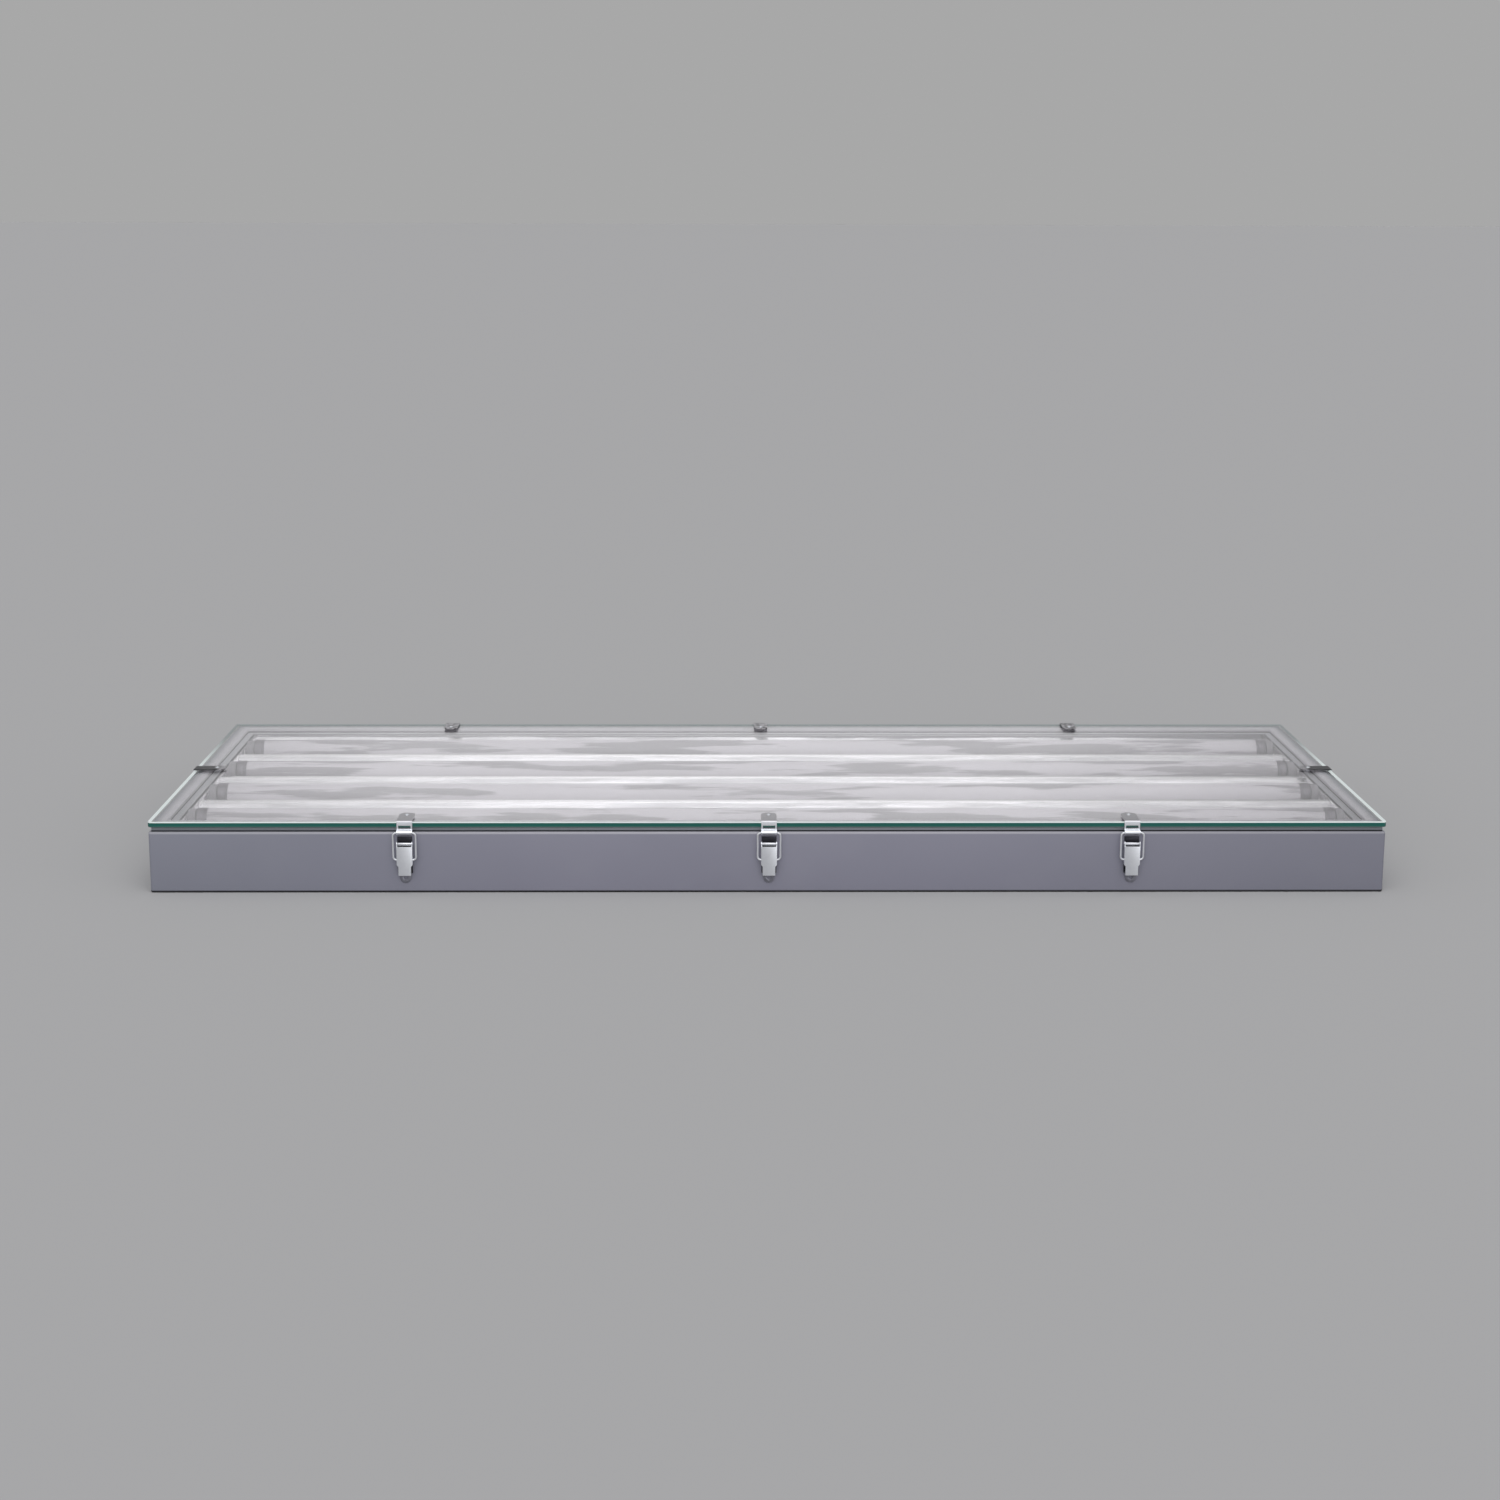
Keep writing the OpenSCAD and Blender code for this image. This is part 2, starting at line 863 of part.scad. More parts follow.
back_sheet();
long_walls();
end_walls();
gasket();
glass_pane();
strikes();
strike_pads();
strike_rivets();
latch_bases();
latch_rivets();
lever_pins();
for (n = [1 : LATCH_COUNT]) {
    color([0.86, 0.87, 0.88]) at_latch(n) lever();
    color([0.8, 0.8, 0.82]) at_latch(n) bail();
}
for (n = [1 : LAMP_COUNT]) {
    reflector(n);
    lamp_tube(n);
    lamp_caps(n);
    lamp_pins(n);
    lamp_rotors(n);
}
reflector_screws();
support_rails();
end_panels();
lampholders();
ballasts();
ballast_nuts();
terminal_block();
earth_stud();
cable_grommet();
wire_loom();
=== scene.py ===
import json
from math import atan2, cos, hypot, pi, radians, sin

import bmesh
import bpy
from mathutils import Matrix, Vector


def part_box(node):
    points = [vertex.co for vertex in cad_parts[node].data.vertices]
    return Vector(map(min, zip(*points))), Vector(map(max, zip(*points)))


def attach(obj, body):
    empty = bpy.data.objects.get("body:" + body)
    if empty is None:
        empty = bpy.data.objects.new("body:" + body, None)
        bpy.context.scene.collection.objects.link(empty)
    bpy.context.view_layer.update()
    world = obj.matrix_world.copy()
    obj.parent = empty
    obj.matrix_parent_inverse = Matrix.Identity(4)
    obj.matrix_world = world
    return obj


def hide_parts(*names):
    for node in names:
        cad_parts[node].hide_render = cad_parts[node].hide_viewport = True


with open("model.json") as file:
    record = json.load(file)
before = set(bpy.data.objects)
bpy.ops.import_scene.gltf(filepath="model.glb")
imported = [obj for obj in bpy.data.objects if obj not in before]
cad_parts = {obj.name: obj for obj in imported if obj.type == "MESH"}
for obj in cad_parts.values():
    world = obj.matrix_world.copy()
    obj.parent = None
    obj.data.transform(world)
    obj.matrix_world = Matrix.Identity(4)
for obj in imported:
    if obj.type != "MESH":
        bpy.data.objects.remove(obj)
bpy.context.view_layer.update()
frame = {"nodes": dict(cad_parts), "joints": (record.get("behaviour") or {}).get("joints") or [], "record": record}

# ---------------------------------------------------------------- studio
# The box lies on a plain pale floor and is looked at from a little above, along its depth. A dim
# dome with one soft lamp high in front lights it, and the camera sees the dome as floor grey.
MM = 0.001
scene = bpy.context.scene
camera_data = bpy.data.cameras.new("camera")
camera_data.lens = 61.147
camera_data.sensor_width = 36
camera_data.clip_end = 200
camera = bpy.data.objects.new("camera", camera_data)
eye = (-0.0571, -2.7867, 0.6932)
turn_left, look_up, tilt = radians(-0.843), radians(90 - 12.085), radians(0.179)
camera.matrix_world = (
    Matrix.Translation(eye)
    @ Matrix.Rotation(turn_left, 4, "Z")
    @ Matrix.Rotation(look_up, 4, "X")
    @ Matrix.Rotation(tilt, 4, "Z")
)
scene.collection.objects.link(camera)
scene.camera = camera
scene.view_settings.view_transform = "Standard"


class Shade:
    """A value in a finish. Arithmetic on it adds Math nodes to the finish."""

    def __init__(self, finish, socket):
        self.finish = finish
        self.socket = socket

    def math(self, operation, first, second=None):
        sockets = {0: first} if second is None else {0: first, 1: second}
        return self.finish.add("ShaderNodeMath", {"operation": operation}, sockets)

    def __add__(self, other):
        return self.math("ADD", self, other)

    def __sub__(self, other):
        return self.math("SUBTRACT", self, other)

    def __rsub__(self, other):
        return self.math("SUBTRACT", other, self)

    def __mul__(self, other):
        return self.math("MULTIPLY", self, other)

    def __abs__(self):
        return self.math("ABSOLUTE", self)

    def __lt__(self, other):
        return self.math("LESS_THAN", self, other)

    def __gt__(self, other):
        return self.math("GREATER_THAN", self, other)

    __radd__ = __add__
    __rmul__ = __mul__


class Finish:
    """A finish, or the studio's dome: nodes are added to its owner's tree one by one."""

    def __init__(self, name, owner=None):
        self.material = owner or bpy.data.materials.new(name)
        self.material.use_nodes = True
        self.tree = self.material.node_tree
        self.tree.nodes.clear()

    def add(self, kind, settings=None, sockets=None, output=0):
        node = self.tree.nodes.new(kind)
        for name, value in (settings or {}).items():
            if name == "stops":
                ramp = node.color_ramp.elements
                while len(ramp) < len(value):
                    ramp.new(1.0)
                for stop, (place, colour) in zip(ramp, value):
                    stop.position = place
                    stop.color = (*colour, 1)
            else:
                setattr(node, name, value)
        for name, value in (sockets or {}).items():
            if isinstance(value, Shade):
                self.tree.links.new(value.socket, node.inputs[name])
            else:
                node.inputs[name].default_value = value
        return Shade(self, node.outputs[output])

    def place(self):
        return self.add("ShaderNodeTexCoord", output="Object")

    def axes(self):
        split = self.add("ShaderNodeSeparateXYZ", sockets={0: self.place()})
        return [Shade(self, split.socket.node.outputs[i]) for i in range(3)]

    def noise(self, size, stretch=(1, 1, 1), detail=3, roughness=0.55):
        """Noise from 0 to 1 whose blotches are about size metres, longer along a stretched axis."""
        scale = tuple(1 / (size * s) for s in stretch)
        spot = self.add("ShaderNodeMapping", sockets={"Vector": self.place(), "Scale": scale})
        sockets = {"Vector": spot, "Scale": 1.0, "Detail": detail, "Roughness": roughness}
        return self.add("ShaderNodeTexNoise", sockets=sockets)

    def mix(self, share, first, second):
        settings = {"data_type": "RGBA"}
        rgb = [c if isinstance(c, Shade) else (*c, 1) for c in (first, second)]
        return self.add("ShaderNodeMix", settings, {0: share, 6: rgb[0], 7: rgb[1]}, output=2)

    def ramp(self, value, low, high):
        """The value, spread so that low becomes 0 and high becomes 1."""
        sockets = {"Value": value, "From Min": low, "From Max": high}
        return self.add("ShaderNodeMapRange", {"clamp": True}, sockets)

    def bump(self, height, depth, under=None):
        sockets = {"Height": height, "Strength": 1.0, "Distance": depth}
        if under is not None:
            sockets["Normal"] = under
        return self.add("ShaderNodeBump", sockets=sockets)

    def edge_wear(self, width):
        """1 on arrises and 0 on flat ground, from the bevel shader's turned normal."""
        bevel = self.add("ShaderNodeBevel", {"samples": 4}, {"Radius": width})
        flat = self.add("ShaderNodeNewGeometry", output="Normal")
        dot = {"operation": "DOT_PRODUCT"}
        return 1 - self.add("ShaderNodeVectorMath", dot, {0: bevel, 1: flat}, "Value")

    def principled(self, **sockets):
        named = {name.replace("_", " "): value for name, value in sockets.items()}
        return self.add("ShaderNodeBsdfPrincipled", sockets=named)

    def show(self, shader, kind="ShaderNodeOutputMaterial"):
        output = self.tree.nodes.new(kind)
        self.tree.links.new(shader.socket, output.inputs["Surface"])
        return self.material


floor_tone = (0.515, 0.515, 0.515, 1)
floor_reach = 90
floor_finish = Finish("pale_floor")
floor_finish.show(
    floor_finish.principled(Base_Color=floor_tone, Roughness=1.0, Specular_IOR_Level=0.0)
)
floor_bm = bmesh.new()
bmesh.ops.create_grid(floor_bm, x_segments=1, y_segments=1, size=floor_reach)
floor_mesh = bpy.data.meshes.new("floor")
floor_bm.to_mesh(floor_mesh)
floor_bm.free()
floor_mesh.materials.append(floor_finish.material)
floor = bpy.data.objects.new("floor", floor_mesh)
scene.collection.objects.link(floor)

# the dome is dim all round, lighter overhead and low behind and in front, so that bright metal and
# the pane have something to mirror; the lamp is a soft glow in it, which fades out from its middle
dome = bpy.data.worlds.new("dome")
scene.world = dome
sky = Finish("dome", dome)
split = sky.add("ShaderNodeSeparateXYZ", sockets={0: sky.add("ShaderNodeTexCoord", output="Generated")})
x, y, z = (Shade(sky, split.socket.node.outputs[i]) for i in range(3))
low_band = sky.ramp(z, 0.60, 0.34)
behind = sky.ramp(y, 0.2, 0.7) * sky.ramp(abs(x), 0.26, 0.12)
in_front = sky.ramp(y, 0.1, -0.4)
overhead = sky.ramp(z, 0.74, 0.97)
level = 0.32 + low_band * (behind * 0.32 + in_front * 0.5) + overhead * 0.38
lamp_x, lamp_y, lamp_z = 0.028, -0.722, 0.691
lamp = sky.ramp(x * lamp_x + y * lamp_y + z * lamp_z, 0.72, 1.0)
level = level + lamp * 1.55
brightest = 4.0
white = (brightest, brightest, 1.02 * brightest)
grey = sky.mix(level * (1 / brightest), (0, 0, 0), white)
seen = sky.add("ShaderNodeLightPath", output="Is Camera Ray")
even = sky.mix(seen, grey, (0.392, 0.392, 0.392))
sky.show(sky.add("ShaderNodeBackground", sockets={0: even}), "ShaderNodeOutputWorld")


def piece(name, bm, body, replaced, finishes, smooth=True):
    """Turns a bmesh into a named piece that rides on a body and stands for CAD nodes."""
    mesh = bpy.data.meshes.new(name)
    bm.to_mesh(mesh)
    bm.free()
    for finish in finishes:
        mesh.materials.append(finish)
    if smooth:
        mesh.shade_smooth()
    made = bpy.data.objects.new(name, mesh)
    scene.collection.objects.link(made)
    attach(made, body)
    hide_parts(*replaced)
    return made


def round_edges(made, width, segments=2, angle=35):
    """Breaks the sharp edges of a piece, as deburring, folding or moulding leaves them."""
    bevel = made.modifiers.new("broken_edges", "BEVEL")
    bevel.width = width
    bevel.segments = segments
    bevel.limit_method = "ANGLE"
    bevel.angle_limit = radians(angle)
    bevel.harden_normals = True
    return made


def cleaned(node):
    """The shape of a CAD node, with its loose triangles merged back into faces."""
    bm = bmesh.new()
    bm.from_mesh(frame["nodes"][node].data)
    bmesh.ops.remove_doubles(bm, verts=bm.verts, dist=0.005 * MM)
    bmesh.ops.dissolve_limit(bm, angle_limit=radians(0.6), verts=bm.verts, edges=bm.edges)
    return bm


def softened(node, body, finish, width, segments=2):
    """A piece like its CAD node, with its edges broken."""
    made = piece(node + "_finished", cleaned(node), body, [node], [finish])
    if width:
        round_edges(made, width, segments)
    return made


def block(low, high):
    """A plain block between two corners, to be worked on."""
    bm = bmesh.new()
    place = Matrix.Translation((low + high) / 2) @ Matrix.Diagonal((*(high - low), 1))
    bmesh.ops.create_cube(bm, size=1, matrix=place)
    return bm


def sharp(edge, angle=60):
    """Whether the two faces at an edge turn by more than the angle."""
    return len(edge.link_faces) == 2 and edge.calc_face_angle() > radians(angle)


def bevelled(bm, edges, offset, segments):
    """Rounds some edges of a shape, or chamfers them where there is one segment."""
    bmesh.ops.bevel(
        bm, geom=edges, offset=offset, segments=segments, affect="EDGES", profile=0.5, material=-1
    )


# ---------------------------------------------------------------- housing
# A shallow tray folded from 1.2 mm sheet steel, its walls turned in at the top as a flange for
# the gasket. The corners are welded and dressed, and it is powder coated grey with a lilac cast.
sheet = 1.2 * MM
flange = 24 * MM
fold_radius = 1.7 * MM
corner_radius = 3 * MM
low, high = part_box("back_sheet")
high = Vector((high.x, high.y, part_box("long_walls")[1].z))

coat = Finish("grey_powder_coat")
peel = coat.noise(0.9 * MM, detail=2)
patches = coat.noise(0.16, detail=2)
dust = coat.ramp(coat.noise(0.07, detail=6), 0.52, 0.85)
wear = coat.ramp(coat.edge_wear(1.2 * MM), 0.02, 0.25)
x, y, z = coat.axes()
across = abs(abs(x) - (high.x - flange) - (abs(y) - (high.y - flange)))
mitre = (across < 0.22 * MM) * (z > high.z - 0.4 * MM)
paint = coat.mix(patches, (0.222, 0.221, 0.275), (0.262, 0.259, 0.320))
paint = coat.mix(dust * 0.12, paint, (0.34, 0.34, 0.37))
paint = coat.mix(wear * 0.7, paint, (0.46, 0.46, 0.52))
paint = coat.mix(mitre * 0.7, paint, (0.05, 0.05, 0.06))
# painted highlight: paler along the top fold and on the flange, where light from above falls; painted shade
# towards the ends; a painted shadow line along the foot
paint = coat.mix(coat.ramp(z, high.z - 2.6 * MM, high.z - 1.4 * MM), paint, (0.42, 0.415, 0.46))
# painted highlight: the flange top is painted paler, as lit from above
on_flange = (abs(x) < high.x - 4 * MM) * (abs(y) < high.y - 4 * MM) * (z > high.z - 0.4 * MM)
paint = coat.mix(on_flange, paint, (0.62, 0.61, 0.645))
# painted shade: darker towards the right end, greyer green towards the left end
paint = coat.mix(coat.ramp(x, 0.15, 0.62) * 0.45, paint, (0.16, 0.165, 0.195))
paint = coat.mix(coat.ramp(x, -0.25, -0.62) * 0.3, paint, (0.19, 0.215, 0.235))
# painted shadow: a near-black line along the foot, where the box meets the floor
paint = coat.mix(coat.ramp(z, 2.8 * MM, 1.8 * MM), paint, (0.012, 0.012, 0.015))
gloss = 0.42 + 0.12 * coat.noise(0.03, detail=4) + dust * 0.12
coat.show(
    coat.principled(
        Base_Color=paint,
        Roughness=gloss,
        Normal=coat.bump(peel, 0.03 * MM),
        Specular_IOR_Level=0.5,
    )
)


def drilled(made, holes):
    """Cuts round holes through a finished piece; each hole is (centre, axis, radius)."""
    drill = bmesh.new()
    for centre, axis, radius in holes:
        way = Vector((0, 0, 1)).rotation_difference(Vector(axis)).to_matrix().to_4x4()
        bmesh.ops.create_cone(
            drill,
            cap_ends=True,
            segments=40,
            radius1=radius,
            radius2=radius,
            depth=8 * MM,
            matrix=Matrix.Translation(centre) @ way,
        )
    tool_mesh = bpy.data.meshes.new("drill")
    drill.to_mesh(tool_mesh)
    drill.free()
    tool = bpy.data.objects.new("drill", tool_mesh)
    scene.collection.objects.link(tool)
    boolean = made.modifiers.new("holes", "BOOLEAN")
    boolean.object = tool
    boolean.solver = "EXACT"
    bpy.context.view_layer.update()
    cut_mesh = bpy.data.meshes.new_from_object(made.evaluated_get(bpy.context.evaluated_depsgraph_get()))
    made.modifiers.clear()
    made.data = cut_mesh
    bpy.data.objects.remove(tool)


def uprights(bm):
    """The edges of a shape that stand upright."""
    return [e for e in bm.edges if abs(e.verts[0].co.z - e.verts[1].co.z) > MM]


tray = block(low, high)
opening = [f for f in tray.faces if f.normal.z > 0.9]
bmesh.ops.inset_region(tray, faces=opening, thickness=flange, use_even_offset=True)
bmesh.ops.delete(tray, geom=opening, context="FACES")
bevelled(tray, uprights(tray), corner_radius, 5)
bevelled(tray, [e for e in tray.edges if sharp(e)], fold_radius, 4)
bmesh.ops.recalc_face_normals(tray, faces=tray.faces)
housing = piece("housing", tray, "housing", ["back_sheet", "long_walls", "end_walls"], [coat.material])
wall = housing.modifiers.new("sheet", "SOLIDIFY")
wall.thickness = sheet
wall.offset = -1
wall.use_even_offset = True
mounts = {mount["name"]: mount for mount in frame["record"]["mounts"]}
fixing = mounts["fixing_holes"]["dims"]
half_x, half_y = fixing["spacing_x_mm"] * MM / 2, fixing["spacing_y_mm"] * MM / 2
corners = [(sx * half_x, sy * half_y, 0) for sx in (-1, 1) for sy in (-1, 1)]
grommet_hole = 10.06 * MM
holes = [(corner, (0, 0, 1), fixing["hole_r_mm"] * MM) for corner in corners]
drilled(housing, holes + [(tuple(mounts["cable_entry"]["pos_m"]), (0, 1, 0), grommet_hole)])
housing_top = high

# ---------------------------------------------------------------- gasket
# A strip of closed-cell foam, stuck to the flange a little in from its edge and butt-jointed at
# the corners. The pane squashes it slightly, so its top edges are round. Its outer faces carry
# painted shade from the pane's overhang, and a near-black painted shadow line runs along its foot.
low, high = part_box("gasket")
foam = Finish("foam_gasket")
pores = foam.noise(0.5 * MM, detail=2)
x, y, z = foam.axes()
# painted shade: the foam darkens towards its outer faces, as shaded by the pane's overhang
overhang_shade = foam.ramp(abs(x), high.x - 9 * MM, high.x - 2 * MM)
overhang_shade = overhang_shade + foam.ramp(abs(y), high.y - 9 * MM, high.y - 2 * MM)
foam_tone = foam.mix(foam.noise(0.02, detail=4), (0.56, 0.54, 0.58), (0.66, 0.64, 0.68))
foam_tone = foam.mix(foam.ramp(overhang_shade, 0, 1), foam_tone, (0.27, 0.29, 0.32))
foam_tone = foam.mix(foam.ramp(pores, 0.55, 0.75) * 0.35, foam_tone, (0.16, 0.16, 0.18))
# painted shadow: a near-black line along the strip's foot
foam_tone = foam.mix(z < low.z + 1.3 * MM, foam_tone, (0.02, 0.02, 0.025))
foam.show(foam.principled(Base_Color=foam_tone, Roughness=0.85, Normal=foam.bump(pores, 0.08 * MM)))

strip_w = 14 * MM
strip = block(low, high)
middles = [f for f in strip.faces if abs(f.normal.z) > 0.9]
bmesh.ops.inset_individual(strip, faces=middles, thickness=strip_w, use_even_offset=True)
rims = [edge for face in middles for edge in face.edges]
bmesh.ops.delete(strip, geom=middles, context="FACES_ONLY")
bmesh.ops.bridge_loops(strip, edges=rims)
shoulders = [e for e in strip.edges if sharp(e) and min(v.co.z for v in e.verts) > high.z - MM]
bevelled(strip, shoulders, 1.1 * MM, 3)
bmesh.ops.recalc_face_normals(strip, faces=strip.faces)
gasket = piece("gasket_strip", strip, "housing", ["gasket"], [foam.material])

# ---------------------------------------------------------------- glass
# A loose pane of 6 mm float glass as large as the housing. Its edges are ground and arrissed, and
# seen through its own length the glass is deep green there.
low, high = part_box("glass_pane")
clear = Finish("float_glass")
smears = clear.ramp(clear.noise(0.05, (6, 1, 1), 5), 0.5, 0.85)
clear_body = clear.principled(
    Base_Color=(0.985, 0.985, 0.985, 1),
    Roughness=smears * 0.03,
    IOR=1.5,
    Transmission_Weight=1.0,
)
lamp_rays = clear.add("ShaderNodeLightPath", output="Is Shadow Ray")
see_through = clear.add("ShaderNodeBsdfTransparent", sockets={"Color": (0.95, 0.955, 0.955, 1)})
clear.show(clear.add("ShaderNodeMixShader", sockets={0: lamp_rays, 1: clear_body, 2: see_through}))

ground = Finish("ground_green_edge")
x, y, z = ground.axes()
level = ground.ramp(z, low.z, high.z)
streaks = ground.noise(0.012, (8, 8, 0.25), 4)
deep = ground.mix(streaks, (0.004, 0.085, 0.070), (0.008, 0.125, 0.100))
edge_tone = ground.mix(ground.ramp(level, 0.22, 0.02) * 0.75, deep, (0.12, 0.19, 0.17))
arrissed = ground.ramp(level, 0.75, 0.78)
# the ground arris is pale; along the front it is painted near white as a painted highlight, and darker towards the
# back as painted shade
arris_pale_and_highlit = ground.mix(ground.ramp(y, 0.02, 0.17), (0.92, 1.0, 0.98), (0.34, 0.37, 0.37))
edge_tone = ground.mix(arrissed, edge_tone, arris_pale_and_highlit)
ground.show(
    ground.principled(
        Base_Color=edge_tone,
        Roughness=0.16 + 0.12 * streaks + 0.3 * arrissed,
        IOR=1.5,
        Normal=ground.bump(ground.noise(0.6 * MM), 0.02 * MM),
    )
)

arris_w, arris_drop = 3 * MM, 1 * MM
pane = block(low, high)
bevelled(pane, uprights(pane), 2 * MM, 1)
under = [e for e in pane.edges if sharp(e) and max(v.co.z for v in e.verts) < low.z + MM]
bevelled(pane, under, 0.4 * MM, 1)
top = [f for f in pane.faces if f.normal.z > 0.99]
rim = [v for v in pane.verts if v.co.z > high.z - 0.01 * MM]
bmesh.ops.inset_region(pane, faces=top, thickness=arris_w, use_even_offset=True)
bmesh.ops.translate(pane, verts=rim, vec=(0, 0, -arris_drop))
pane.normal_update()
for face in pane.faces:
    face.material_index = 0 if abs(face.normal.z) > 0.97 else 1
glass = piece("glass", pane, "lid", ["glass_pane"], [clear.material, ground.material], smooth=False)

# ---------------------------------------------------------------- latches
# Eight toggle latches: a dark steel base riveted to the wall, a nickel-plated lever on a pin, a wire
# bail through the lever's cheeks and a strike that hooks over the pane and ends in a rolled eye.
# Painted shade darkens the bases above a grey foot and mottles the straps at the back; a painted
# dark reflection darkens the straps at the ends.
hinges = {joint["name"]: joint for joint in frame["joints"]}
pin_height = hinges["lever_1_turn"]["pos_m"][2]
strike_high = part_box("strikes")[1]
strap_low = 75.2 * MM
nickel = Finish("bright_nickel")
brushed = nickel.noise(0.25 * MM, (1, 1, 14), 3)
prints = nickel.ramp(nickel.noise(6 * MM, detail=4), 0.45, 0.75)
rubbed = nickel.ramp(nickel.edge_wear(0.8 * MM), 0.02, 0.2)
x, y, z = nickel.axes()
nickel_tone = nickel.mix(prints * 0.4, (0.90, 0.92, 0.96), (0.76, 0.78, 0.82))
# the straps' tops on the pane are toned darker; painted reflection: the end straps are painted near black, and
# painted shade mottles the back straps
on_pane = (z > strap_low) * (z < strike_high.z + 0.1 * MM)
end_strap_painted_reflection = nickel.ramp(abs(x), 0.606, 0.611) * on_pane
back_strap_painted_shade = nickel.ramp(nickel.noise(5 * MM, detail=2), 0.46, 0.54) * (y > 0.2) * on_pane
nickel_tone = nickel.mix(on_pane, nickel_tone, (0.55, 0.54, 0.56))
nickel_tone = nickel.mix(nickel.ramp(end_strap_painted_reflection + back_strap_painted_shade * 0.8, 0, 1), nickel_tone, (0.085, 0.085, 0.09))
nickel.show(
    nickel.principled(
        Base_Color=nickel_tone,
        Metallic=1.0,
        Roughness=0.30 + 0.06 * prints + 0.05 * brushed - 0.2 * rubbed,
        Normal=nickel.bump(brushed, 0.004 * MM),
    )
)
backing = Finish("dark_steel_base_shaded")
scale_marks = backing.noise(1.5 * MM, detail=4)
x, y, z = backing.axes()
# painted shade: the plate is near black above its grey foot, as shade in the recess behind the lever
shaded_plate_tone = backing.mix(scale_marks, (0.03, 0.03, 0.04), (0.07, 0.07, 0.08))
foot_tone = backing.mix(scale_marks, (0.22, 0.22, 0.26), (0.32, 0.32, 0.36))
shaded_plate_tone = backing.mix(backing.ramp(z, 22 * MM, 16 * MM), shaded_plate_tone, foot_tone)
# painted highlight: a bright metal band round the pin, where the rolled top catches the lamp
pin_band_highlight = backing.ramp(z, pin_height - 3.9 * MM, pin_height - 3.5 * MM)
pin_band_highlight = pin_band_highlight * backing.ramp(z, pin_height + 1.4 * MM, pin_height + 0.8 * MM)
backing.show(
    backing.principled(
        Base_Color=backing.mix(pin_band_highlight, shaded_plate_tone, (0.84, 0.85, 0.89)),
        Metallic=1.0,
        Roughness=0.30 + 0.1 * scale_marks - 0.12 * pin_band_highlight,
    )
)
drawn = Finish("drawn_wire")
draw_lines = drawn.noise(0.2 * MM, (1, 1, 20), 2)
drawn.show(
    drawn.principled(
        Base_Color=drawn.mix(draw_lines, (0.97, 0.98, 1.0), (0.88, 0.90, 0.93)),
        Metallic=1.0,
        Roughness=0.32 + 0.1 * draw_lines,
    )
)
pad_rubber = Finish("grip_rubber")
pad_rubber.show(
    pad_rubber.principled(
        Base_Color=pad_rubber.mix(pad_rubber.noise(0.8 * MM), (0.03, 0.03, 0.032), (0.06, 0.06, 0.064)),
        Roughness=0.75,
        Normal=pad_rubber.bump(pad_rubber.noise(0.4 * MM), 0.02 * MM),
    )
)

latch_numbers = range(1, 9)


def turned_to(n):
    """The turn that takes x along the wall, y outward and z up to the way latch n faces."""
    along = Vector(hinges[f"lever_{n}_turn"]["axis"])
    outward = Vector((-along.y, along.x, 0))
    return Matrix((along, outward, Vector((0, 0, 1)))).transposed().to_4x4()


def at_latch(bm, n):
    """Moves a shape drawn from the wall's top edge, x along it and y outward, to latch n."""
    turn = turned_to(n)
    along, outward = turn.col[0], turn.col[1]
    pin = hinges[f"lever_{n}_turn"]["pos_m"]
    edge_x = pin[0] * abs(along.x) + outward.x * housing_top.x
    edge_y = pin[1] * abs(along.y) + outward.y * housing_top.y
    place = Matrix.Translation((edge_x, edge_y, housing_top.z))
    bmesh.ops.transform(bm, matrix=place @ turn, verts=bm.verts)


strap = 1.0 * MM
strap_half = 8 * MM
strap_middle = strike_high.z - housing_top.z - strap / 2
strap_reach = 34 * MM
bend = 1.2 * MM
drop_out = 0.9 * MM
slot_head, slot_foot, neck = 7 * MM, 4 * MM, 2.4 * MM
slot_share = 0.79
eye_out, eye_up, eye_radius = 3.6 * MM, 0.5 * MM, 2.0 * MM


def strike_shape():
    """One strike as a thin strip: round end, flat, bent down past the pane, slot, curled eye."""
    bm = bmesh.new()
    rows = []
    steps = 8
    for i in range(steps + 1):
        a = pi / 2 * i / steps
        half = max(strap_half * sin(a), 0.3 * MM)
        rows.append((strap_half * (1 - cos(a)) - strap_reach, strap_middle, half))
    steps = 5
    for i in range(steps + 1):
        a = pi / 2 * i / steps
        rows.append((drop_out - bend + bend * sin(a), strap_middle - bend + bend * cos(a), strap_half))
    for height in (slot_head, slot_foot, neck):
        rows.append((drop_out, height, strap_half))
    steps = 20
    for i in range(1, steps + 1):
        a = pi + radians(300) * i / steps
        rows.append((eye_out + eye_radius * cos(a), eye_up + eye_radius * sin(a), strap_half))
    columns = (-1, -slot_share, -0.4, 0, 0.4, slot_share, 1)
    grid = [[bm.verts.new((c * half, out, up)) for c in columns] for out, up, half in rows]
    for upper, lower in zip(grid, grid[1:]):
        for k in range(len(columns) - 1):
            bm.faces.new((upper[k], upper[k + 1], lower[k + 1], lower[k]))
    middles = [(f, f.calc_center_median()) for f in bm.faces]
    slot = [f for f, m in middles if abs(m.x) < slot_share * strap_half and slot_foot < m.z < slot_head]
    bmesh.ops.delete(bm, geom=slot, context="FACES")
    bmesh.ops.recalc_face_normals(bm, faces=bm.faces)
    return bm


def merged(shapes):
    """Joins several shapes into one bmesh."""
    whole = bmesh.new()
    for shape in shapes:
        part = bpy.data.meshes.new("part")
        shape.to_mesh(part)
        shape.free()
        whole.from_mesh(part)
        bpy.data.meshes.remove(part)
    return whole


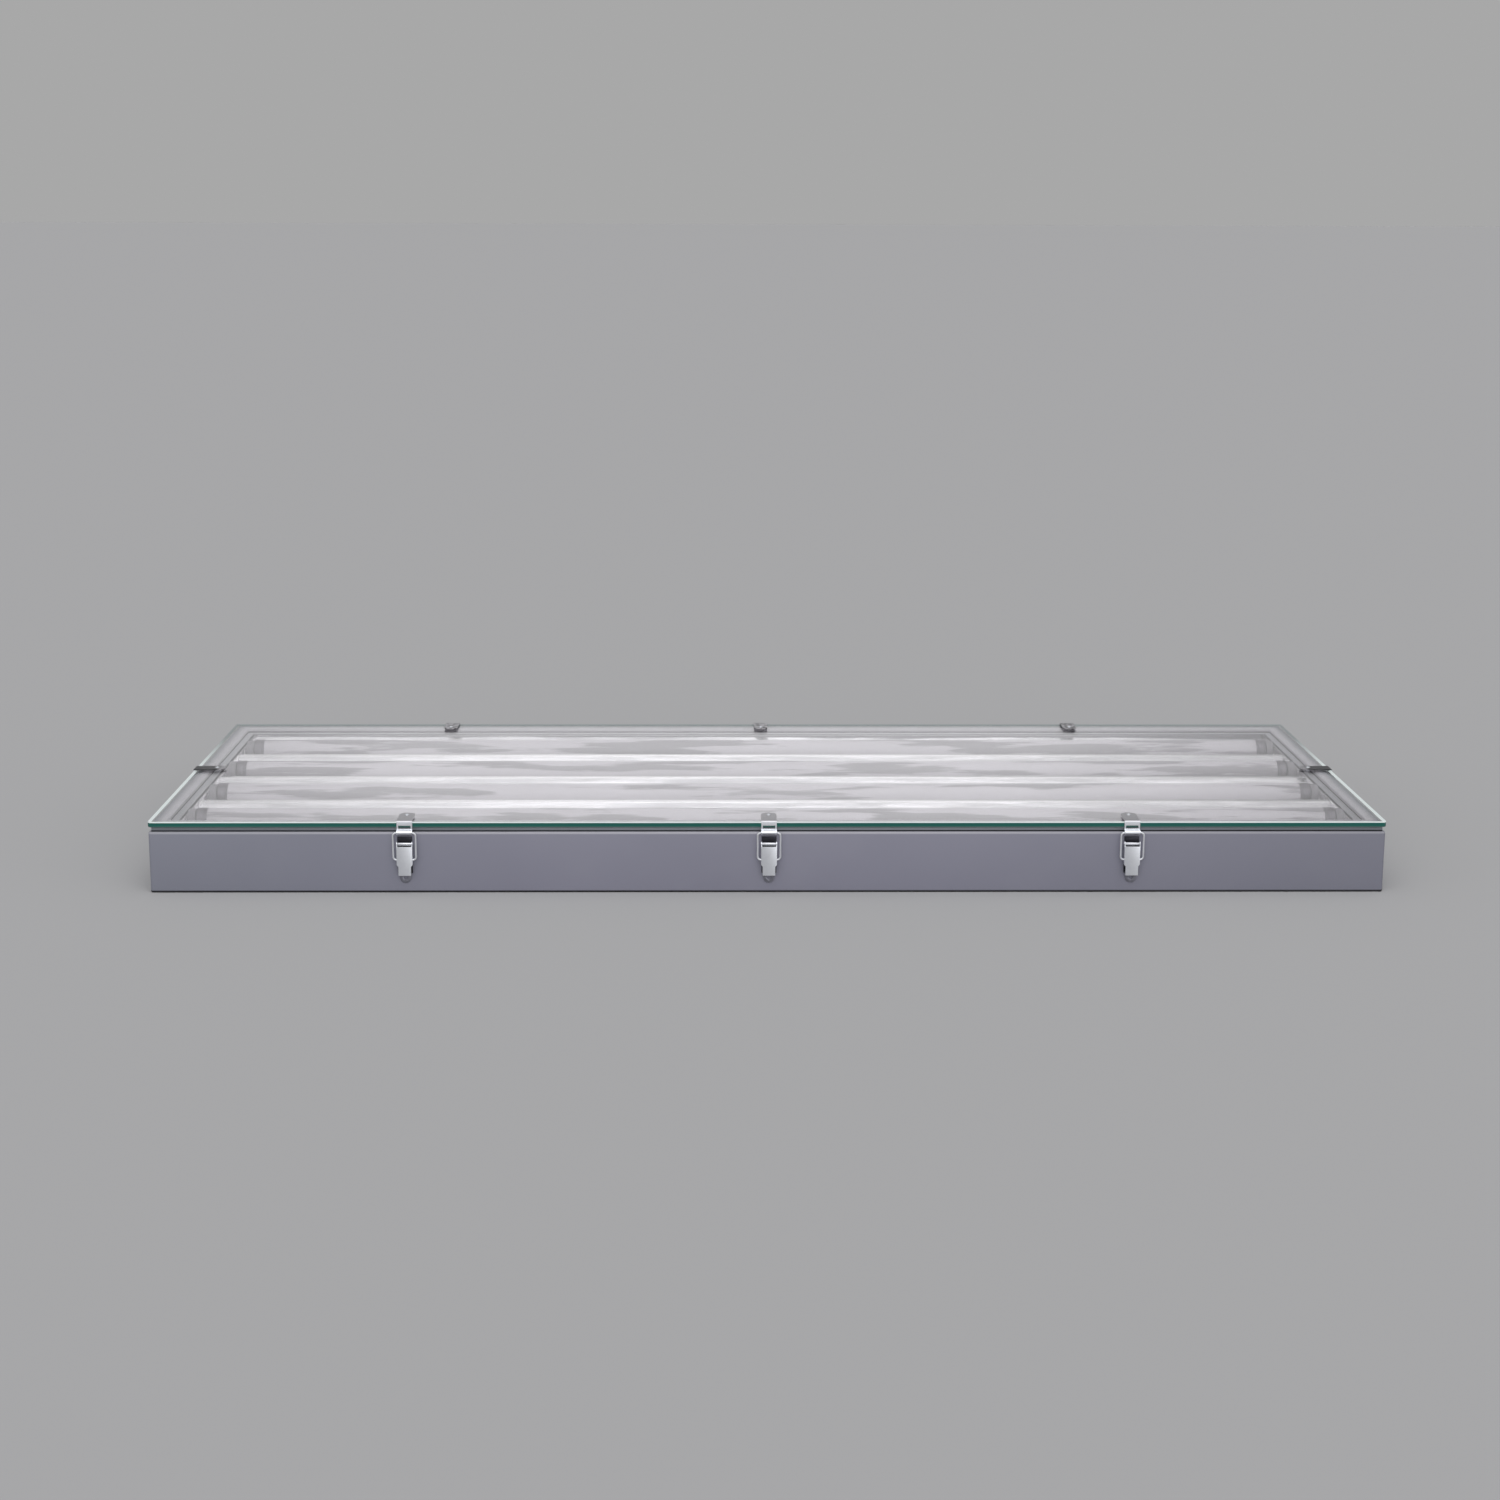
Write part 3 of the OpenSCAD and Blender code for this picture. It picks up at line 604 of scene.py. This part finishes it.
straps = [strike_shape() for n in latch_numbers]
for n, shape in zip(latch_numbers, straps):
    at_latch(shape, n)
strikes = piece("strike_straps", merged(straps), "lid", ["strikes"], [nickel.material])
metal = strikes.modifiers.new("gauge", "SOLIDIFY")
metal.thickness = strap
metal.offset = 0
metal.use_even_offset = True
round_edges(strikes, 0.22 * MM)

softened("strike_pads", "lid", pad_rubber.material, 0.1 * MM)
softened("latch_bases", "housing", backing.material, 0.2 * MM)
softened("latch_rivets", "housing", nickel.material, 0.3 * MM)
softened("lever_pins", "housing", nickel.material, 0.25 * MM)
for n in latch_numbers:
    softened(f"latch_{n}_lever", f"lever_{n}", nickel.material, 0.3 * MM, 3)


def ring(bm, centre, across_axis, up_axis, radius, sides=16):
    """A loop of edges round a wire."""
    turns = [2 * pi * i / sides for i in range(sides)]
    verts = [bm.verts.new(centre + radius * (cos(a) * across_axis + sin(a) * up_axis)) for a in turns]
    edges = [bm.edges.new((verts[i], verts[(i + 1) % sides])) for i in range(sides)]
    return verts, edges


wire = 1.0 * MM
bail_rise, bail_lean = 28.5 * MM, 1.0 * MM


def bail_shape():
    """The bail's wire in its own plane: an upper end, a side, the crossbar, the other side and end."""
    bm = bmesh.new()
    half, foot, top = 11.6 * MM, 8.4 * MM, 8.35 * MM
    tall = hypot(bail_rise, bail_lean)
    low_bend, top_bend = half - foot, half - top
    verts, edges = ring(bm, Vector((-top, 0, tall)), Vector((0, 1, 0)), Vector((0, 0, 1)), wire)
    bm.faces.new(verts)
    moves = [
        ("bend", (-top, 0, tall - top_bend), -90),
        ("run", (0, 0, -(tall - top_bend - low_bend))),
        ("bend", (-foot, 0, low_bend), -90),
        ("run", (2 * foot, 0, 0)),
        ("bend", (foot, 0, low_bend), -90),
        ("run", (0, 0, tall - top_bend - low_bend)),
        ("bend", (top, 0, tall - top_bend), -90),
    ]
    for move in moves:
        if move[0] == "bend":
            made = bmesh.ops.spin(
                bm, geom=verts + edges, cent=move[1], axis=(0, 1, 0), angle=radians(move[2]), steps=8
            )["geom_last"]
        else:
            made = bmesh.ops.extrude_edge_only(bm, edges=edges)["geom"]
            shifted = [g for g in made if isinstance(g, bmesh.types.BMVert)]
            bmesh.ops.translate(bm, verts=shifted, vec=move[1])
        verts = [g for g in made if isinstance(g, bmesh.types.BMVert)]
        edges = [g for g in made if isinstance(g, bmesh.types.BMEdge) and all(v in verts for v in g.verts)]
    bmesh.ops.contextual_create(bm, geom=edges)
    bmesh.ops.recalc_face_normals(bm, faces=bm.faces)
    return bm


for n in latch_numbers:
    place = Matrix.Translation(hinges[f"bail_{n}_swing"]["pos_m"])
    lean = Matrix.Rotation(-atan2(bail_lean, bail_rise), 4, "X")
    shape = bail_shape()
    bmesh.ops.transform(shape, matrix=place @ turned_to(n) @ lean, verts=shape.verts)
    piece(f"bail_wire_{n}", shape, f"bail_{n}", [f"latch_{n}_bail"], [drawn.material])

softened("strike_rivets", "lid", nickel.material, 0.15 * MM)

# ---------------------------------------------------------------- reflectors
# Four troughs folded from bright pre-anodised sheet, one under each lamp. Their hemmed lips meet in
# three ridges. Rolling leaves long soft waves, which smear what the sheet mirrors along its length.
hem = 1.3 * MM
bright = Finish("bright_reflector")
waves = bright.noise(0.022, (9, 1, 1), 2)
dents = bright.noise(0.009, (5, 1, 1), 2)
# painted reflection: darker smears along the sheet stand for what it mirrors
painted_sheet_smears = bright.ramp(bright.noise(0.012, (12, 1, 1), 5), 0.44, 0.60)
sheet_tone = bright.mix(painted_sheet_smears, (0.93, 0.915, 0.94), (0.70, 0.685, 0.715))
x, y, z = bright.axes()
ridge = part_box("reflector_1")[1].z
# painted highlight: the sheet is painted near white along the ridge tops
ridge_highlight = bright.ramp(z, ridge - 1.2 * MM, ridge - 0.3 * MM)
sheet_tone = bright.mix(ridge_highlight, sheet_tone, (1.0, 0.99, 1.0))
bright.show(
    bright.principled(
        Base_Color=sheet_tone,
        Metallic=0.92,
        Roughness=0.19 + 0.14 * painted_sheet_smears * (1 - ridge_highlight),
        Normal=bright.bump(dents, 0.45 * MM, bright.bump(waves, 2.6 * MM)),
    )
)
for n in range(1, 5):
    low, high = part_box(f"reflector_{n}")
    trough = cleaned(f"reflector_{n}")
    along_x = Matrix.Rotation(pi / 2, 4, "Y")
    for hem_y in (low.y + hem, high.y - hem):
        bmesh.ops.create_cone(
            trough,
            cap_ends=True,
            segments=16,
            radius1=hem,
            radius2=hem,
            depth=high.x - low.x - 2 * MM,
            matrix=Matrix.Translation((0, hem_y, high.z)) @ along_x,
        )
    made = piece(f"reflector_{n}_finished", trough, "housing", [f"reflector_{n}"], [bright.material])
    round_edges(made, 0.3 * MM)
softened("end_panels", "housing", bright.material, 0.2 * MM)

zinc = Finish("zinc_plate")
grain = zinc.noise(0.4 * MM, (1, 5, 1), 3)
zinc.show(
    zinc.principled(
        Base_Color=zinc.mix(grain, (0.62, 0.63, 0.66), (0.72, 0.72, 0.73)),
        Metallic=1.0,
        Roughness=0.32 + 0.1 * grain,
    )
)
softened("reflector_screws", "housing", zinc.material, 0.3 * MM)
softened("support_rails", "housing", zinc.material, 0.25 * MM)
softened("ballast_nuts", "housing", zinc.material, 0.2 * MM)

# ---------------------------------------------------------------- lamps
# Four tube lamps: opal glass coated inside with phosphor, a pressed aluminium cap crimped on each
# end, two brass pins in an insulating disc, and the rotor of the holder that they turn in.
opal = Finish("opal_tube")
x, y, z = opal.axes()
burnt = opal.ramp(abs(x), 0.555, 0.59)
# painted reflection: long grey smears along each tube stand for reflections across it
painted_tube_smears = opal.ramp(opal.noise(0.013, (14, 1, 1), 5), 0.505, 0.555)
tube_tone = opal.mix(opal.noise(0.05, (5, 1, 1), 3), (0.69, 0.655, 0.70), (0.85, 0.81, 0.86))
tube_tone = opal.mix(painted_tube_smears * 0.84, tube_tone, (0.31, 0.293, 0.315))
tube_tone = opal.mix(burnt * 0.25, tube_tone, (0.45, 0.43, 0.45))
opal.show(
    opal.principled(
        Base_Color=tube_tone,
        Roughness=0.2 + 0.08 * opal.noise(0.01, (4, 1, 1)),
        IOR=1.5,
    )
)
aluminium = Finish("pressed_aluminium")
turned = aluminium.noise(0.3 * MM, (1, 30, 30), 2)
aluminium.show(
    aluminium.principled(
        Base_Color=aluminium.mix(turned, (0.17, 0.16, 0.18), (0.27, 0.255, 0.28)),
        Metallic=1.0,
        Roughness=0.42 + 0.12 * turned,
    )
)
brass = Finish("brass")
brass.show(
    brass.principled(
        Base_Color=brass.mix(brass.noise(2 * MM), (0.62, 0.47, 0.22), (0.75, 0.60, 0.32)),
        Metallic=1.0,
        Roughness=0.28,
    )
)
plastic = Finish("white_moulding")
plastic.show(
    plastic.principled(
        Base_Color=plastic.mix(plastic.noise(0.01), (0.25, 0.24, 0.26), (0.32, 0.305, 0.33)),
        Roughness=0.34 + 0.1 * plastic.noise(3 * MM),
        Normal=plastic.bump(plastic.noise(0.3 * MM), 0.01 * MM),
    )
)


def turned_shape(profile, centre, sides=48):
    """A round piece turned about a line along X: profile gives (x, radius) from one end to the other."""
    bm = bmesh.new()
    verts = [bm.verts.new((centre.x + along, centre.y, centre.z + radius)) for along, radius in profile]
    edges = [bm.edges.new(pair) for pair in zip(verts, verts[1:])]
    bmesh.ops.spin(
        bm, geom=verts + edges, cent=centre, axis=(1, 0, 0), angle=2 * pi, steps=sides, use_merge=True
    )
    bmesh.ops.remove_doubles(bm, verts=bm.verts, dist=0.002 * MM)
    bmesh.ops.recalc_face_normals(bm, faces=bm.faces)
    return bm


shoulder = 3 * MM
for n in range(1, 5):
    low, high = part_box(f"lamp_{n}_tube")
    centre = (low + high) / 2
    half, radius = (high.x - low.x) / 2, (high.z - low.z) / 2
    flat_half, flat_radius = half - shoulder, radius - shoulder
    turns = (0, 0.4, 0.8, 1.2, pi / 2)
    right = [(flat_half + shoulder * sin(a), flat_radius + shoulder * cos(a)) for a in turns] + [(half, 0)]
    left = [(-along, r) for along, r in reversed(right)]
    tube = turned_shape(left + right, centre)
    piece(f"tube_{n}", tube, f"lamp_{n}", [f"lamp_{n}_tube"], [opal.material])

    low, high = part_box(f"lamp_{n}_caps")
    tip, rim = high.x, (high.z - low.z) / 2
    bore = rim - 0.28 * MM
    caps = []
    for side in (-1, 1):
        profile = [
            (tip - 12 * MM, bore),
            (tip - 12 * MM, rim - 0.05 * MM),
            (tip - 11.6 * MM, rim),
            (tip - 9.4 * MM, rim),
            (tip - 9.0 * MM, rim - 0.22 * MM),
            (tip - 8.4 * MM, rim - 0.22 * MM),
            (tip - 8.0 * MM, rim),
            (tip - 1.6 * MM, rim),
            (tip - 0.9 * MM, rim - 0.25 * MM),
            (tip - 0.3 * MM, rim - 0.9 * MM),
            (tip, rim - 2.0 * MM),
            (tip, 10.4 * MM),
            (tip - 0.35 * MM, 10.2 * MM),
            (tip - 0.35 * MM, 0),
        ]
        profile = [(side * along, r) for along, r in profile]
        caps.append(turned_shape(profile, Vector((0, centre.y, centre.z))))
    piece(f"caps_{n}", merged(caps), f"lamp_{n}", [f"lamp_{n}_caps"], [aluminium.material])
    softened(f"lamp_{n}_pins", f"lamp_{n}", brass.material, 0.4 * MM)
    softened(f"lamp_{n}_rotors", f"lamp_{n}", plastic.material, 0.2 * MM)
softened("lampholders", "housing", plastic.material, 0.6 * MM)

# ---------------------------------------------------------------- gear under the reflectors
# Two electronic ballasts on studs, a terminal block and an earth stud by the cable grommet, and a
# PVC-covered bundle from the ballasts along the box and up behind each holder.
case = Finish("ballast_case")
case.show(
    case.principled(
        Base_Color=case.mix(case.noise(0.03), (0.70, 0.70, 0.67), (0.78, 0.78, 0.75)),
        Roughness=0.4 + 0.1 * case.noise(0.01),
        Normal=case.bump(case.noise(0.8 * MM), 0.02 * MM),
    )
)
black = Finish("black_rubber")
black.show(
    black.principled(
        Base_Color=black.mix(black.noise(3 * MM), (0.018, 0.018, 0.018), (0.035, 0.035, 0.035)),
        Roughness=0.6 + 0.15 * black.noise(1 * MM),
    )
)
cover = Finish("wire_cover")
cover.show(
    cover.principled(
        Base_Color=cover.mix(cover.noise(0.01), (0.66, 0.66, 0.62), (0.76, 0.76, 0.72)),
        Roughness=0.5,
        Normal=cover.bump(cover.noise(1.5 * MM, (6, 6, 1)), 0.1 * MM),
    )
)
softened("ballasts", "housing", case.material, 0.5 * MM)
softened("terminal_block", "housing", plastic.material, 0.4 * MM)
softened("earth_stud", "housing", brass.material, 0.3 * MM)
softened("cable_grommet", "housing", black.material, 0.6 * MM, 3)
softened("wire_loom", "housing", cover.material, 0)
